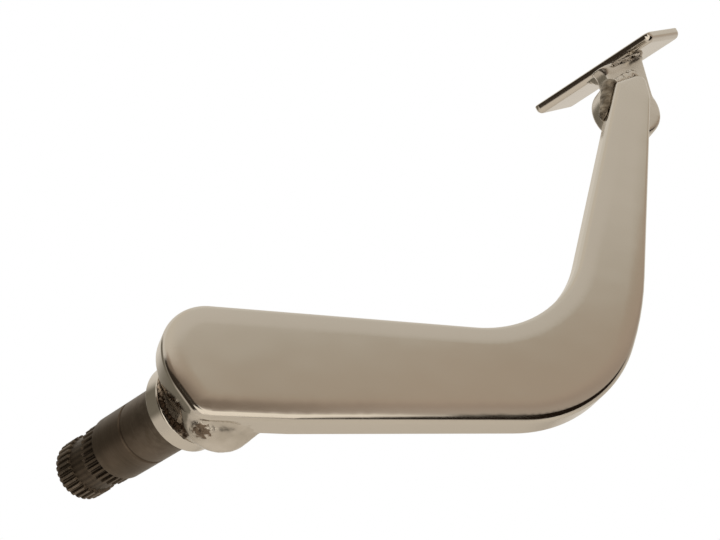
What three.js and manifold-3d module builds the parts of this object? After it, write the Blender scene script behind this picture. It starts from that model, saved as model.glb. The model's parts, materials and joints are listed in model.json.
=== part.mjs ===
// Motorcycle rear brake pedal: a flat bent arm, a splined pivot shaft standing out of its back,
// and a bare pad plate on a keyhole-shaped stem behind its upper end. All of it is one weldment.
// Millimetres. Origin on the shaft's axis at the back face of the thrust collar; +Y runs along
// the shaft to its free end, +X forward along the arm, +Z up.
import * as THREE from "three";
import { mergeVertices } from "three/addons/utils/BufferGeometryUtils.js";
import Module from "manifold-3d";

const wasm = await Module();
wasm.setup();

// Fits
const WELD_GAP = 0.3; // left between two pieces that are welded together

// Pivot shaft
const SHAFT_DIA = 22.2; // bearing journal
const JOURNAL_LENGTH = 35.3; // thrust face to the start of the splines
const OIL_GROOVE_AT = 19.6;
const OIL_GROOVE_WIDTH = 1.0;
const OIL_GROOVE_DEPTH = 0.35;
const SPLINE_STEP = 0.6; // tops of the teeth, in from the journal
const SPLINE_LENGTH = 23.2;
const SPLINE_TEETH = 30;
const SPLINE_DEPTH = 1.1;
const CLAMP_GROOVE_AT = 11.5; // middle of the pinch-bolt groove, from the start of the splines
const CLAMP_GROOVE_WIDTH = 7.0;
const CLAMP_GROOVE_DEPTH = 1.3;
const TIP_CHAMFER = 1.2;
const SHOULDER_CHAMFER = 0.4;

// Thrust collar and the boss that joins it to the arm
const COLLAR_STEP = 3.65; // rim, out from the journal
const COLLAR_THICKNESS = 6.0;
const COLLAR_CHAMFER = 0.6;
const BOSS_WALL = 2.1;

// Arm
const ARM_FLARE = 25.0; // degrees the arm leans outward as it runs forward
const ARM_SEAT_GAP = 0.33; // arm's back face to the nearest corner of the collar, along the shaft
const ARM_THICKNESS = 12.5; // at the pivot and along the lower arm
const ARM_TIP_THICKNESS = 8.3; // above the bend
const ARM_TAPER_START = -10.0; // along the shin, from the middle of the bend
const ARM_TAPER_LENGTH = 35.0; // over which the one thins to the other
const ARM_FRONT_EDGE = 1.0; // edge radii
const ARM_BACK_EDGE = 2.0;
const NOSE_REACH = 22.2; // behind the pivot
const NOSE_FLAT = 23.6; // upright stretch of the nose
const NOSE_TOP_RADIUS = 15.5;
const NOSE_LOW_RADIUS = 25.0;
const NOSE_HEEL_RADIUS = 8.0;
const NOSE_CUT = 9.5; // how far the nose's lower corner is cut back
const NOSE_CUT_RISE = 1.3; // that corner, above the lower edge
const BOTTOM_DROP = 14.7; // lower edge, below the pivot
const BOTTOM_START = 18.0; // where the lower edge turns level
const BOTTOM_START_RADIUS = 60.0;
const TOP_RISE = 24.8; // upper edge, above the pivot
const TOP_SLOPE = 3.3; // degrees it falls going forward
const HEEL_REACH = 127.3; // pivot to the outer corner of the bend
const HEEL_RADIUS = 54.0;
const SHIN_ANGLE = 60.8; // degrees, outer edge just past the bend
const SHIN_LENGTH = 47.9;
const SHIN_RADIUS = 130.0;
const OUTER_ANGLE = 73.7; // degrees, outer edge from there to the top
const THROAT_SETBACK = 10.8; // outer corner back to the inner corner
const THROAT_RADIUS = 46.0;
const INNER_ANGLE = 66.5; // degrees, inner edge of the upper arm
const ARM_RISE = 135.5; // top end, above the pivot
const ARM_END_UPRIGHT = 12.5; // upright stretch of the outer edge under the top end
const ARM_END_FALL = 6.5; // the top end falls this much towards the inner edge
const ARM_END_RADIUS = 3.5;
const ARM_END_BLEND = 15.0; // radius where the outer edge turns upright

// Keyhole stem behind the top of the arm
const EYE_DIA = 26.6;
const EYE_DROP = 12.1; // below the arm's top end
const EYE_FORWARD = 3.0; // ahead of the middle of the arm there
const STEM_FORWARD = 2.4; // middle of the stem, ahead of the eye's
const STEM_WIDTH = 18.6;
const STEM_THICKNESS = 8.6;
const STEM_EDGE = 1.2;

// Pad plate
const PAD_LENGTH = 61.0;
const PAD_WIDTH = 30.5;
const PAD_THICKNESS = 4.1;
const PAD_CORNER = 3.0;
const PAD_EDGE = 0.4;
const PAD_TILT = 28.0; // degrees its front edge is lifted
const PAD_FORWARD = 16.2; // middle of its underside, from the middle of the eye
const PAD_INWARD = 12.3;
const PAD_LIFT = 32.1;

// Undressed weld beads
const BEAD_PITCH = 1.6; // ripple to ripple
const BEAD_RIPPLE = 0.93; // every other blob of a straight bead, of its full radius
const NOTCH_START = 102.0; // degrees about the shaft, ends of the bead round the hub's narrow side
const NOTCH_END = 246.0;
const NOTCH_PITCH = 8.0;
const NOTCH_SPREAD = 0.4; // how far that bead laps over each side of its wedge
const NOTCH_RADIUS_LEAST = 1.4;
const NOTCH_RADIUS_MOST = 2.8;
const NECK_RADIUS = 2.8; // bead over the arm's top end
const NECK_AHEAD = 2.2; // its middle, ahead of the stem
const NECK_FROM = [1.0, 0.8]; // its ends, forward and up from the arm's two top corners
const NECK_TO = [-3.0, 0.2];
const NECK_SIDE_RADIUS = 3.0; // bead down the arm's inner edge
const NECK_SIDE_AHEAD = 2.8;
const NECK_SIDE_LENGTH = 13.0;
const NECK_SIDE_FROM = [0.6, 0.0];
const NECK_SIDE_TO = [-0.6, 0.5];

// Welds dressed smooth
const PAD_WELD_REAR = [9.5, 9.0]; // legs down the stem and along the pad plate
const PAD_WELD_FRONT = [4.0, 3.5];
const PAD_WELD_HOLLOW = 0.3; // pull of each section's curve towards the corner: 0.5 is flat
const FILLET_FOOT = 5.4; // how far the hub's fillet spreads over the arm, past the collar's rim
const FILLET_STEPS = [
  [4.2, 9.0], // out past the rim, and behind the collar
  [1.4, 4.0],
  [0.1, 1.0],
  [-0.8, 0.0],
];
const LOBE_BULGE = 4.1; // dressed lump of weld under the hub, past the collar's rim
const LOBE_FORWARD = 2.6; // its middle, from the shaft's axis
const LOBE_DEPTH = 13.5; // its middle, from the thrust face
const LOBE_HALF_SIZE = [12.5, 8.5, 10.0];

// Mesh fineness
const ROUND_SEGMENTS = 64;
const ARC_STEP = THREE.MathUtils.degToRad(6);
const EDGE_STEPS = 3;
const SLIVER = 0.001; // edges shorter than this are merged away

const rad = THREE.MathUtils.degToRad;
const shaftLength = JOURNAL_LENGTH + SPLINE_LENGTH;
const journalRadius = SHAFT_DIA / 2;
const bore = journalRadius + WELD_GAP;
const collarRadius = journalRadius + COLLAR_STEP;
const bossRadius = bore + BOSS_WALL;

// Thrust face to the arm's front face along the shaft, with the collar just clear of its back face.
const armStandoff =
  COLLAR_THICKNESS +
  ARM_SEAT_GAP +
  ARM_THICKNESS / Math.cos(rad(ARM_FLARE)) +
  collarRadius * Math.tan(rad(ARM_FLARE));

// Frame of the flat arm: x along it, y into its depth from the front face, z up.
const armFrame = new THREE.Matrix4()
  .makeTranslation(0, -armStandoff, 0)
  .multiply(new THREE.Matrix4().makeRotationZ(-rad(ARM_FLARE)));

function solidOf(geometry, frame) {
  const bare = geometry.clone();
  bare.deleteAttribute("normal");
  bare.deleteAttribute("uv");
  if (frame) bare.applyMatrix4(frame);
  const merged = mergeVertices(bare, 1e-4);
  const vertProperties = merged.attributes.position.array;
  const triVerts = new Uint32Array(merged.index.array);
  const solid = new wasm.Manifold(
    new wasm.Mesh({ numProp: 3, vertProperties, triVerts }),
  );
  if (solid.volume() > 0) return solid;
  triVerts.reverse();
  return new wasm.Manifold(
    new wasm.Mesh({ numProp: 3, vertProperties, triVerts }),
  );
}

function geometryOf(solid) {
  const mesh = solid.simplify(SLIVER).getMesh();
  const position = new THREE.BufferAttribute(mesh.vertProperties, 3);
  const geometry = new THREE.BufferGeometry()
    .setAttribute("position", position)
    .setIndex(new THREE.BufferAttribute(mesh.triVerts, 1));
  geometry.computeVertexNormals();
  return geometry;
}

const joined = (solids) => solids.reduce((sum, next) => sum.add(next));

// Solid of revolution about the shaft's axis, from [radius, y] corners that close on themselves.
function turned(corners) {
  const profile = [...corners, corners[0]].map(
    ([radius, y]) => new THREE.Vector2(radius, y),
  );
  return solidOf(new THREE.LatheGeometry(profile, ROUND_SEGMENTS));
}

function box(width, depth, height, centre, frame) {
  const geometry = new THREE.BoxGeometry(width, depth, height);
  geometry.translate(...centre);
  return solidOf(geometry, frame);
}

// Points along an outline whose corners [x, y, radius] are rounded, counter-clockwise.
function roundedOutline(corners) {
  const at = (i) => corners[(i + corners.length) % corners.length];
  const points = [];
  corners.forEach(([x, y, radius], i) => {
    const [backX, backY] = at(i - 1);
    const [nextX, nextY] = at(i + 1);
    const corner = new THREE.Vector2(x, y);
    const back = new THREE.Vector2(backX - x, backY - y).normalize();
    const next = new THREE.Vector2(nextX - x, nextY - y).normalize();
    const half = Math.acos(back.dot(next)) / 2;
    const centre = back
      .clone()
      .add(next)
      .setLength(radius / Math.sin(half))
      .add(corner);
    const tangent = radius / Math.tan(half);
    const from = corner.clone().addScaledVector(back, tangent).sub(centre);
    const to = corner.clone().addScaledVector(next, tangent).sub(centre);
    const turn = Math.atan2(from.cross(to), from.dot(to));
    const steps = Math.max(2, Math.ceil(Math.abs(turn) / ARC_STEP));
    for (let k = 0; k <= steps; k++) {
      const point = from
        .clone()
        .rotateAround(new THREE.Vector2(), (turn * k) / steps);
      points.push(point.add(centre));
    }
  });
  return points;
}

// Flat piece cut to an outline in (x, z), from `front` to `back` in y, both edges rounded;
// `grow` swells it all round.
function flatPiece(outline, front, back, frontEdge, backEdge, grow = 0) {
  const count = outline.length;
  const inward = outline.map((point, i) => {
    const before = outline[(i + count - 1) % count];
    const after = outline[(i + 1) % count];
    const a = point.clone().sub(before).normalize();
    const b = after.clone().sub(point).normalize();
    const across = new THREE.Vector2(-a.y - b.y, a.x + b.x);
    return across.setLength(2 / across.length());
  });
  const rings = [];
  for (let k = 0; k <= EDGE_STEPS; k++) {
    const angle = (k / EDGE_STEPS) * (Math.PI / 2);
    rings.push({
      inset: frontEdge * (1 - Math.sin(angle)) - grow,
      depth: front - grow + frontEdge * (1 - Math.cos(angle)),
    });
  }
  for (let k = EDGE_STEPS; k >= 0; k--) {
    const angle = (k / EDGE_STEPS) * (Math.PI / 2);
    rings.push({
      inset: backEdge * (1 - Math.sin(angle)) - grow,
      depth: back + grow - backEdge * (1 - Math.cos(angle)),
    });
  }
  const position = [];
  for (const ring of rings)
    outline.forEach((point, i) => {
      const { x, y } = point.clone().addScaledVector(inward[i], ring.inset);
      position.push(x, ring.depth, y);
    });
  const index = [];
  for (let r = 0; r < rings.length - 1; r++)
    for (let i = 0; i < count; i++) {
      const a = r * count + i;
      const b = r * count + ((i + 1) % count);
      index.push(a, a + count, b + count, a, b + count, b);
    }
  const lastRing = (rings.length - 1) * count;
  for (const [a, b, c] of THREE.ShapeUtils.triangulateShape(outline, [])) {
    index.push(a, b, c);
    index.push(lastRing + a, lastRing + c, lastRing + b);
  }
  return new THREE.BufferGeometry()
    .setAttribute("position", new THREE.Float32BufferAttribute(position, 3))
    .setIndex(index);
}

// Arm
const along = (angle, length) => [
  length * Math.cos(rad(angle)),
  length * Math.sin(rad(angle)),
];
const topEdge = (x) => TOP_RISE - x * Math.tan(rad(TOP_SLOPE));
const heel = [HEEL_REACH, -BOTTOM_DROP];
const [shinRun, shinRise] = along(SHIN_ANGLE, SHIN_LENGTH);
const shin = [heel[0] + shinRun, heel[1] + shinRise];
const throatX = HEEL_REACH - THROAT_SETBACK;
const throat = [throatX, topEdge(throatX)];
const outerEdge = (z) => shin[0] + (z - shin[1]) / Math.tan(rad(OUTER_ANGLE));
const innerEdge = (z) =>
  throat[0] + (z - throat[1]) / Math.tan(rad(INNER_ANGLE));
const endX = outerEdge(ARM_RISE - ARM_END_UPRIGHT);
const innerTop = ARM_RISE - ARM_END_FALL;

const armOutline = roundedOutline([
  [-NOSE_REACH, topEdge(-NOSE_REACH), NOSE_TOP_RADIUS],
  [-NOSE_REACH, topEdge(-NOSE_REACH) - NOSE_FLAT, NOSE_LOW_RADIUS],
  [-NOSE_REACH + NOSE_CUT, NOSE_CUT_RISE - BOTTOM_DROP, NOSE_HEEL_RADIUS],
  [BOTTOM_START, -BOTTOM_DROP, BOTTOM_START_RADIUS],
  [...heel, HEEL_RADIUS],
  [...shin, SHIN_RADIUS],
  [endX, ARM_RISE - ARM_END_UPRIGHT, ARM_END_BLEND],
  [endX, ARM_RISE, ARM_END_RADIUS],
  [innerEdge(innerTop), innerTop, ARM_END_RADIUS / 2],
  [...throat, THROAT_RADIUS],
]);

// The arm is its thin upper thickness all over, thickened below a plane that slopes up the shin.
function armSolid(grow = 0) {
  const flat = (thickness) =>
    solidOf(
      flatPiece(armOutline, 0, thickness, ARM_FRONT_EDGE, ARM_BACK_EDGE, grow),
      armFrame,
    );
  const slope = Math.atan2(
    ARM_THICKNESS - ARM_TIP_THICKNESS,
    ARM_TAPER_LENGTH,
  );
  const taperFrame = armFrame
    .clone()
    .multiply(
      new THREE.Matrix4().makeTranslation(
        HEEL_REACH,
        ARM_THICKNESS + grow,
        throat[1] / 2,
      ),
    )
    .multiply(new THREE.Matrix4().makeRotationY(-rad(SHIN_ANGLE)))
    .multiply(new THREE.Matrix4().makeTranslation(ARM_TAPER_START, 0, 0))
    .multiply(new THREE.Matrix4().makeRotationZ(-slope));
  const reach = 4 * HEEL_REACH;
  const waste = box(reach, reach, reach, [0, reach / 2, 0], taperFrame);
  return flat(ARM_TIP_THICKNESS).add(flat(ARM_THICKNESS).subtract(waste));
}

// Everything in front of the plane `gap` behind the arm's back face.
function aheadOfArmBack(gap) {
  const reach = 2 * HEEL_REACH;
  const deep = ARM_THICKNESS + gap;
  return box(reach, reach, reach, [0, deep - reach / 2, 0], armFrame);
}

// Everything behind that plane.
function behindArmBack() {
  const reach = 2 * HEEL_REACH;
  const deep = ARM_THICKNESS + WELD_GAP;
  return box(reach, reach, reach, [0, deep + reach / 2, 0], armFrame);
}

// Pivot shaft
const splineRadius = journalRadius - SPLINE_STEP;
const splineRoot = splineRadius - SPLINE_DEPTH;

function pivotShaft() {
  const shoulder = JOURNAL_LENGTH - SHOULDER_CHAMFER;
  const groove = journalRadius - OIL_GROOVE_DEPTH;
  const journal = turned([
    [0, -armStandoff],
    [journalRadius, -armStandoff],
    [journalRadius, OIL_GROOVE_AT - OIL_GROOVE_WIDTH / 2],
    [groove, OIL_GROOVE_AT - OIL_GROOVE_WIDTH / 4],
    [groove, OIL_GROOVE_AT + OIL_GROOVE_WIDTH / 4],
    [journalRadius, OIL_GROOVE_AT + OIL_GROOVE_WIDTH / 2],
    [journalRadius, shoulder],
    [journalRadius - SHOULDER_CHAMFER, JOURNAL_LENGTH],
    [0, JOURNAL_LENGTH],
  ]);
  return journal.add(splines()).subtract(aheadOfArmBack(WELD_GAP));
}

function splines() {
  const tooth = (2 * Math.PI) / SPLINE_TEETH;
  const flanks = [
    [0, splineRoot],
    [0.25, splineRoot],
    [0.42, splineRadius],
    [0.83, splineRadius],
  ];
  const section = new THREE.Shape();
  for (let k = 0; k < SPLINE_TEETH; k++)
    flanks.forEach(([share, radius], i) => {
      const angle = (k + share) * tooth;
      const point = [radius * Math.cos(angle), radius * Math.sin(angle)];
      if (k + i === 0) section.moveTo(...point);
      else section.lineTo(...point);
    });
  section.closePath();
  const beyond = 1;
  const toothed = new THREE.ExtrudeGeometry(section, {
    depth: SPLINE_LENGTH + beyond,
    bevelEnabled: false,
  });
  toothed.rotateX(-Math.PI / 2);
  toothed.translate(0, JOURNAL_LENGTH - beyond, 0);
  const outside = splineRadius + beyond;
  const middle = JOURNAL_LENGTH + CLAMP_GROOVE_AT;
  const floor = splineRadius - CLAMP_GROOVE_DEPTH;
  const clampGroove = turned([
    [floor, middle - CLAMP_GROOVE_WIDTH / 2],
    [outside, middle - CLAMP_GROOVE_WIDTH / 2],
    [outside, middle + CLAMP_GROOVE_WIDTH / 2],
    [floor, middle + CLAMP_GROOVE_WIDTH / 2],
  ]);
  const tipChamfer = turned([
    [splineRadius - TIP_CHAMFER - beyond, shaftLength + beyond],
    [outside, shaftLength - TIP_CHAMFER - beyond],
    [outside, shaftLength + beyond],
  ]);
  return solidOf(toothed).subtract(clampGroove).subtract(tipChamfer);
}

function thrustCollar(grow = 0) {
  const rim = collarRadius + grow;
  const front = -COLLAR_THICKNESS - grow;
  return turned([
    [bore, grow],
    [rim - COLLAR_CHAMFER, grow],
    [rim, grow - COLLAR_CHAMFER],
    [rim, front + COLLAR_CHAMFER],
    [rim - COLLAR_CHAMFER, front],
    [bore, front],
  ]);
}

function hubBoss(grow = 0) {
  const back = -COLLAR_THICKNESS - WELD_GAP + grow;
  const rim = bossRadius + grow;
  return turned([
    [bore, -armStandoff],
    [rim, -armStandoff],
    [rim, back],
    [bore, back],
  ]).subtract(aheadOfArmBack(WELD_GAP - grow));
}

// Where the arm's back face lies along the shaft, at x.
const armBackAt = (x) =>
  ARM_THICKNESS / Math.cos(rad(ARM_FLARE)) -
  armStandoff -
  x * Math.tan(rad(ARM_FLARE));

// Weld beads: overlapping blobs along a path of [centre, radius].
function bead(path) {
  return joined(
    path.map(([centre, radius]) => {
      const blob = new THREE.IcosahedronGeometry(radius, 2);
      blob.translate(centre.x, centre.y, centre.z);
      return solidOf(blob);
    }),
  );
}

function straightBead(from, to, radius) {
  const count = Math.max(3, Math.round(from.distanceTo(to) / BEAD_PITCH));
  return bead(
    Array.from({ length: count + 1 }, (_, k) => [
      from.clone().lerp(to, k / count),
      radius * (k % 2 ? 1 : BEAD_RIPPLE),
    ]),
  );
}

// Clear of the collar, the boss and the arm by the weld gap.
const clearOfHub = (solid) =>
  solid
    .subtract(thrustCollar(WELD_GAP))
    .subtract(hubBoss(WELD_GAP))
    .subtract(armSolid(WELD_GAP))
    .subtract(
      turned([
        [0, -armStandoff],
        [bore + WELD_GAP, -armStandoff],
        [bore + WELD_GAP, 0],
        [0, 0],
      ]),
    );

// Wedge about the shaft's axis between the two ends of the undressed bead.
function notchSector(grow = 0) {
  const middle = (NOTCH_START + NOTCH_END) / 2;
  const half = (NOTCH_END - NOTCH_START) / 2;
  const reach = 4 * collarRadius;
  const sector = new THREE.Shape();
  sector.moveTo(...along(middle, -grow / Math.sin(rad(half))));
  sector.lineTo(...along(NOTCH_START, reach));
  sector.lineTo(...along(middle, 2 * reach));
  sector.lineTo(...along(NOTCH_END, reach));
  sector.closePath();
  const geometry = new THREE.ExtrudeGeometry(sector, {
    depth: armStandoff,
    bevelEnabled: false,
  });
  return solidOf(geometry.rotateX(Math.PI / 2));
}

// Undressed bead round the narrow side of the wedge between collar and arm.
function hubWeldNotch() {
  const path = [];
  for (let angle = NOTCH_START; angle <= NOTCH_END; angle += NOTCH_PITCH) {
    const [x, z] = along(angle, bossRadius);
    const width = -COLLAR_THICKNESS - armBackAt(x);
    const radius = THREE.MathUtils.clamp(
      width / 2 + NOTCH_SPREAD,
      NOTCH_RADIUS_LEAST,
      NOTCH_RADIUS_MOST,
    );
    path.push([new THREE.Vector3(x, -COLLAR_THICKNESS - width / 2, z), radius]);
  }
  return clearOfHub(bead(path).intersect(notchSector()));
}

// Weld ground smooth round the wide side, with a lobe hanging under the hub.
function hubWeldFillet() {
  const back = -COLLAR_THICKNESS;
  const ring = turned([
    [bossRadius, -armStandoff],
    [collarRadius + FILLET_FOOT, -armStandoff],
    ...FILLET_STEPS.map(([out, behind]) => [collarRadius + out, back - behind]),
    [bossRadius, back],
  ]);
  const [across, deep, high] = LOBE_HALF_SIZE;
  const lobe = new THREE.SphereGeometry(1, 32, 20);
  lobe.scale(across, deep, high);
  lobe.translate(LOBE_FORWARD, -LOBE_DEPTH, high - collarRadius - LOBE_BULGE);
  return clearOfHub(
    ring
      .add(solidOf(lobe))
      .subtract(notchSector(WELD_GAP))
      .intersect(behindArmBack()),
  );
}

// Keyhole stem
const inArm = (x, y, z) => new THREE.Vector3(x, y, z).applyMatrix4(armFrame);
const eyeHeight = ARM_RISE - EYE_DROP;
const eye = [
  (outerEdge(eyeHeight) + innerEdge(eyeHeight)) / 2 + EYE_FORWARD,
  eyeHeight,
];
const stemFront = ARM_TIP_THICKNESS + WELD_GAP;
const stemBack = stemFront + STEM_THICKNESS;
const eyeCentre = new THREE.Vector3(
  eye[0],
  (stemFront + stemBack) / 2,
  eye[1],
).applyMatrix4(armFrame);

// Frame of the pad plate: x across it, y along it, z up out of its top face.
const padFrame = new THREE.Matrix4()
  .makeTranslation(
    eyeCentre.x + PAD_FORWARD,
    eyeCentre.y + PAD_INWARD,
    eyeCentre.z + PAD_LIFT,
  )
  .multiply(new THREE.Matrix4().makeRotationY(-rad(PAD_TILT)));

// Everything above the plane `gap` under the pad plate.
function abovePad(gap) {
  const reach = 4 * PAD_LENGTH;
  return box(reach, reach, reach, [0, 0, reach / 2 - gap], padFrame);
}

// Height of the pad plate's underside over the point (x, y) of the arm's frame.
const padNormal = new THREE.Vector3(0, 0, 1).transformDirection(padFrame);
function padUnderside(x, y) {
  const below = new THREE.Vector3().setFromMatrixPosition(padFrame);
  return below.sub(inArm(x, y, 0)).dot(padNormal) / padNormal.z;
}

const stemX = eye[0] + STEM_FORWARD;
const stemOutline = (() => {
  const half = STEM_WIDTH / 2;
  const top = padUnderside(stemX + half, stemBack) + STEM_WIDTH;
  return [
    new THREE.Vector2(stemX - half, eye[1]),
    new THREE.Vector2(stemX + half, eye[1]),
    new THREE.Vector2(stemX + half, top),
    new THREE.Vector2(stemX - half, top),
  ];
})();
const eyeOutline = new THREE.Path()
  .absarc(...eye, EYE_DIA / 2, 0, 2 * Math.PI)
  .getPoints(ROUND_SEGMENTS / 2)
  .slice(1);

function stemSolid(grow = 0) {
  const cut = (outline) =>
    solidOf(
      flatPiece(outline, stemFront, stemBack, STEM_EDGE, STEM_EDGE, grow),
      armFrame,
    );
  return cut(eyeOutline)
    .add(cut(stemOutline))
    .subtract(abovePad(WELD_GAP - grow));
}

// Pad plate: its outline lies in the plate's own plane.
function padPlate(grow = 0) {
  const x = PAD_WIDTH / 2;
  const y = PAD_LENGTH / 2;
  const outline = roundedOutline([
    [-x, -y, PAD_CORNER],
    [x, -y, PAD_CORNER],
    [x, y, PAD_CORNER],
    [-x, y, PAD_CORNER],
  ]);
  const flat = flatPiece(
    outline,
    0,
    PAD_THICKNESS,
    PAD_EDGE,
    PAD_EDGE,
    grow,
  );
  return solidOf(flat.rotateX(Math.PI / 2), padFrame);
}

const clearOfHead = (solid) =>
  solid
    .subtract(armSolid(WELD_GAP))
    .subtract(stemSolid(WELD_GAP))
    .subtract(abovePad(WELD_GAP));

// A point of the arm's frame `ahead` of the stem, shifted forward and up.
const besideStem = (x, z, [forward, up], ahead) =>
  inArm(x + forward, stemFront - ahead, z + up);

// Bead over the arm's top end, against the stem.
function neckWeldFront() {
  const bar = straightBead(
    besideStem(innerEdge(innerTop), innerTop, NECK_FROM, NECK_AHEAD),
    besideStem(endX, ARM_RISE, NECK_TO, NECK_AHEAD),
    NECK_RADIUS,
  );
  return clearOfHead(bar).subtract(neckSide(WELD_GAP));
}

// Bead down the arm's inner edge, against the eye.
function neckSide(grow = 0) {
  const low = innerTop - NECK_SIDE_LENGTH;
  return straightBead(
    besideStem(innerEdge(low), low, NECK_SIDE_FROM, NECK_SIDE_AHEAD),
    besideStem(innerEdge(innerTop), innerTop, NECK_SIDE_TO, NECK_SIDE_AHEAD),
    NECK_SIDE_RADIUS + grow,
  );
}

// Dressed weld in the corner between one face of the stem and the pad plate, from its two legs.
function padWeld(y, [downStem, alongPad], side) {
  const half = STEM_WIDTH / 2 - STEM_EDGE;
  const [left, right] = [-half, half].map((x) =>
    inArm(stemX + x, y, padUnderside(stemX + x, y)),
  );
  const line = right.clone().sub(left);
  const away = inArm(0, side, 0).sub(inArm(0, 0, 0));
  const down = away.clone().cross(line).normalize();
  if (down.z > 0) down.negate();
  const alongPlate = padNormal.clone().cross(line).normalize();
  if (alongPlate.dot(away) < 0) alongPlate.negate();
  const section = new THREE.Shape();
  section.moveTo(0, 0);
  section.lineTo(downStem, 0);
  section.quadraticCurveTo(
    downStem * PAD_WELD_HOLLOW,
    alongPad * PAD_WELD_HOLLOW,
    0,
    alongPad,
  );
  section.closePath();
  const weld = new THREE.ExtrudeGeometry(section, {
    depth: line.length(),
    bevelEnabled: false,
    curveSegments: 10,
  });
  const frame = new THREE.Matrix4()
    .makeBasis(down, alongPlate, line.clone().normalize())
    .setPosition(left);
  return clearOfHead(solidOf(weld, frame));
}

const chrome = () =>
  new THREE.MeshStandardMaterial({
    color: 0xb4aca0,
    metalness: 1,
    roughness: 0.16,
  });
const bareSteel = () =>
  new THREE.MeshStandardMaterial({
    color: 0x554a3e,
    metalness: 0.8,
    roughness: 0.55,
  });
const weldMetal = () =>
  new THREE.MeshStandardMaterial({
    color: 0x7d756a,
    metalness: 1,
    roughness: 0.35,
  });

const pedal = new THREE.Group();
pedal.name = "rear_brake_pedal";

function addPiece(name, solid, material) {
  const mesh = new THREE.Mesh(geometryOf(solid), material);
  mesh.name = name;
  pedal.add(mesh);
}

addPiece("pedal_arm", armSolid(), chrome());
addPiece("pivot_shaft", pivotShaft(), bareSteel());
addPiece("thrust_collar", thrustCollar(), chrome());
addPiece("hub_boss", hubBoss(), chrome());
addPiece("hub_weld_notch", hubWeldNotch(), weldMetal());
addPiece("hub_weld_fillet", hubWeldFillet(), chrome());
addPiece("pad_stem", stemSolid(), chrome());
addPiece("pad_plate", padPlate(), chrome());
addPiece("neck_weld_front", neckWeldFront(), weldMetal());
addPiece("neck_weld_side", clearOfHead(neckSide()), weldMetal());
addPiece("pad_weld_front", padWeld(stemFront, PAD_WELD_FRONT, -1), chrome());
addPiece("pad_weld_rear", padWeld(stemBack, PAD_WELD_REAR, 1), chrome());

export default pedal;
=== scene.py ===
"""Looks for the rear brake pedal: a polished, plated lever with a bare steel pivot shaft.

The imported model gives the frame: metres, origin on the shaft's axis at the collar's thrust face,
+Y along the shaft to its free end, +X forward along the lever, +Z up. Sizes here are millimetres.
"""
import json
import math

import bmesh
import bpy
from mathutils import Matrix, Vector, geometry, noise


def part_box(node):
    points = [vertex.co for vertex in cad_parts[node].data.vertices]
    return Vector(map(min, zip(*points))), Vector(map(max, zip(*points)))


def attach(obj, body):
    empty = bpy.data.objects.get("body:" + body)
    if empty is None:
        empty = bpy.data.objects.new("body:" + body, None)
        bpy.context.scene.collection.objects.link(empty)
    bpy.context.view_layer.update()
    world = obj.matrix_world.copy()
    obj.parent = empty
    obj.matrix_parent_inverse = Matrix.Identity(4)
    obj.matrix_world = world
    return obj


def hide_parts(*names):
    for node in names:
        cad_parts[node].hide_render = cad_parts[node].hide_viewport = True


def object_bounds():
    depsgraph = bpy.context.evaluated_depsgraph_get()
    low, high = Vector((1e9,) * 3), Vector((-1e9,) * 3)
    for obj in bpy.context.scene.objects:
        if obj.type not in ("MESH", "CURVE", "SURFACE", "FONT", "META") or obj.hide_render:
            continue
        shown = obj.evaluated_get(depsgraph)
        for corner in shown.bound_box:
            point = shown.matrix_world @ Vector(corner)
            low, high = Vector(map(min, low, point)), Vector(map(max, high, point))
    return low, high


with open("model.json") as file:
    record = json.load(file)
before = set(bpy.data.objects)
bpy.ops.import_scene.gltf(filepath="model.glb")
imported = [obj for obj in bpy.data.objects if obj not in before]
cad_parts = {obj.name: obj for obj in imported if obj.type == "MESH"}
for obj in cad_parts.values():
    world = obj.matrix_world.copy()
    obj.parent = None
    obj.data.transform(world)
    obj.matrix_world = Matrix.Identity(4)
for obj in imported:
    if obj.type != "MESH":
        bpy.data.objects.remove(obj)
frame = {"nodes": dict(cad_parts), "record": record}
cad_bounds = [list(corner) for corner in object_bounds()]

MM = 0.001
BODY = "root"
PLATED, BEADED, BARE = "chrome_plate", "weld_bead", "shaft_steel"  # material slots

# Lever, flat in a plane that flares outward as it runs forward
ARM_STANDOFF = 27.0
ARM_FLARE = 25.0
ARM_THICKNESS = 12.5
ARM_TIP_THICKNESS = 8.3
TAPER_START = -10.0  # along the shin, from the bend
TAPER_LENGTH = 35.0
TAPER_CUTS = 10
BEND_RISE = 9.0
EDGE_RADIUS = 2.4  # round the front face
CROWN_WIDTH = 5.5  # strip inside that edge where the buff has rolled the face over
CROWN_TURN = 9.0  # degrees the strip has turned by at the edge
BACK_RADIUS = 2.0

# Lever's outline, from the nose round the heel and up to the end
NOSE_REACH = 22.2
NOSE_FLAT = 23.6
NOSE_TOP_RADIUS = 15.5
NOSE_LOW_RADIUS = 25.0
CHIN_SETBACK = 9.5
CHIN_RISE = 1.3
CHIN_RADIUS = 8.0
BELLY_START = 18.0
BELLY_RADIUS = 60.0
BOTTOM_DROP = 14.7
TOP_RISE = 24.8
TOP_SLOPE = 3.3
HEEL_REACH = 127.3
HEEL_RADIUS = 54.0
SHIN_ANGLE = 60.8
SHIN_LENGTH = 47.9
SHIN_RADIUS = 130.0
OUTER_ANGLE = 73.7
THROAT_SETBACK = 10.8
THROAT_RADIUS = 46.0
INNER_ANGLE = 66.5
ARM_RISE = 135.5
END_UPRIGHT = 12.5
END_FALL = 6.5
END_RADIUS = 3.5
END_OUTER_RADIUS = 15.0

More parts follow.
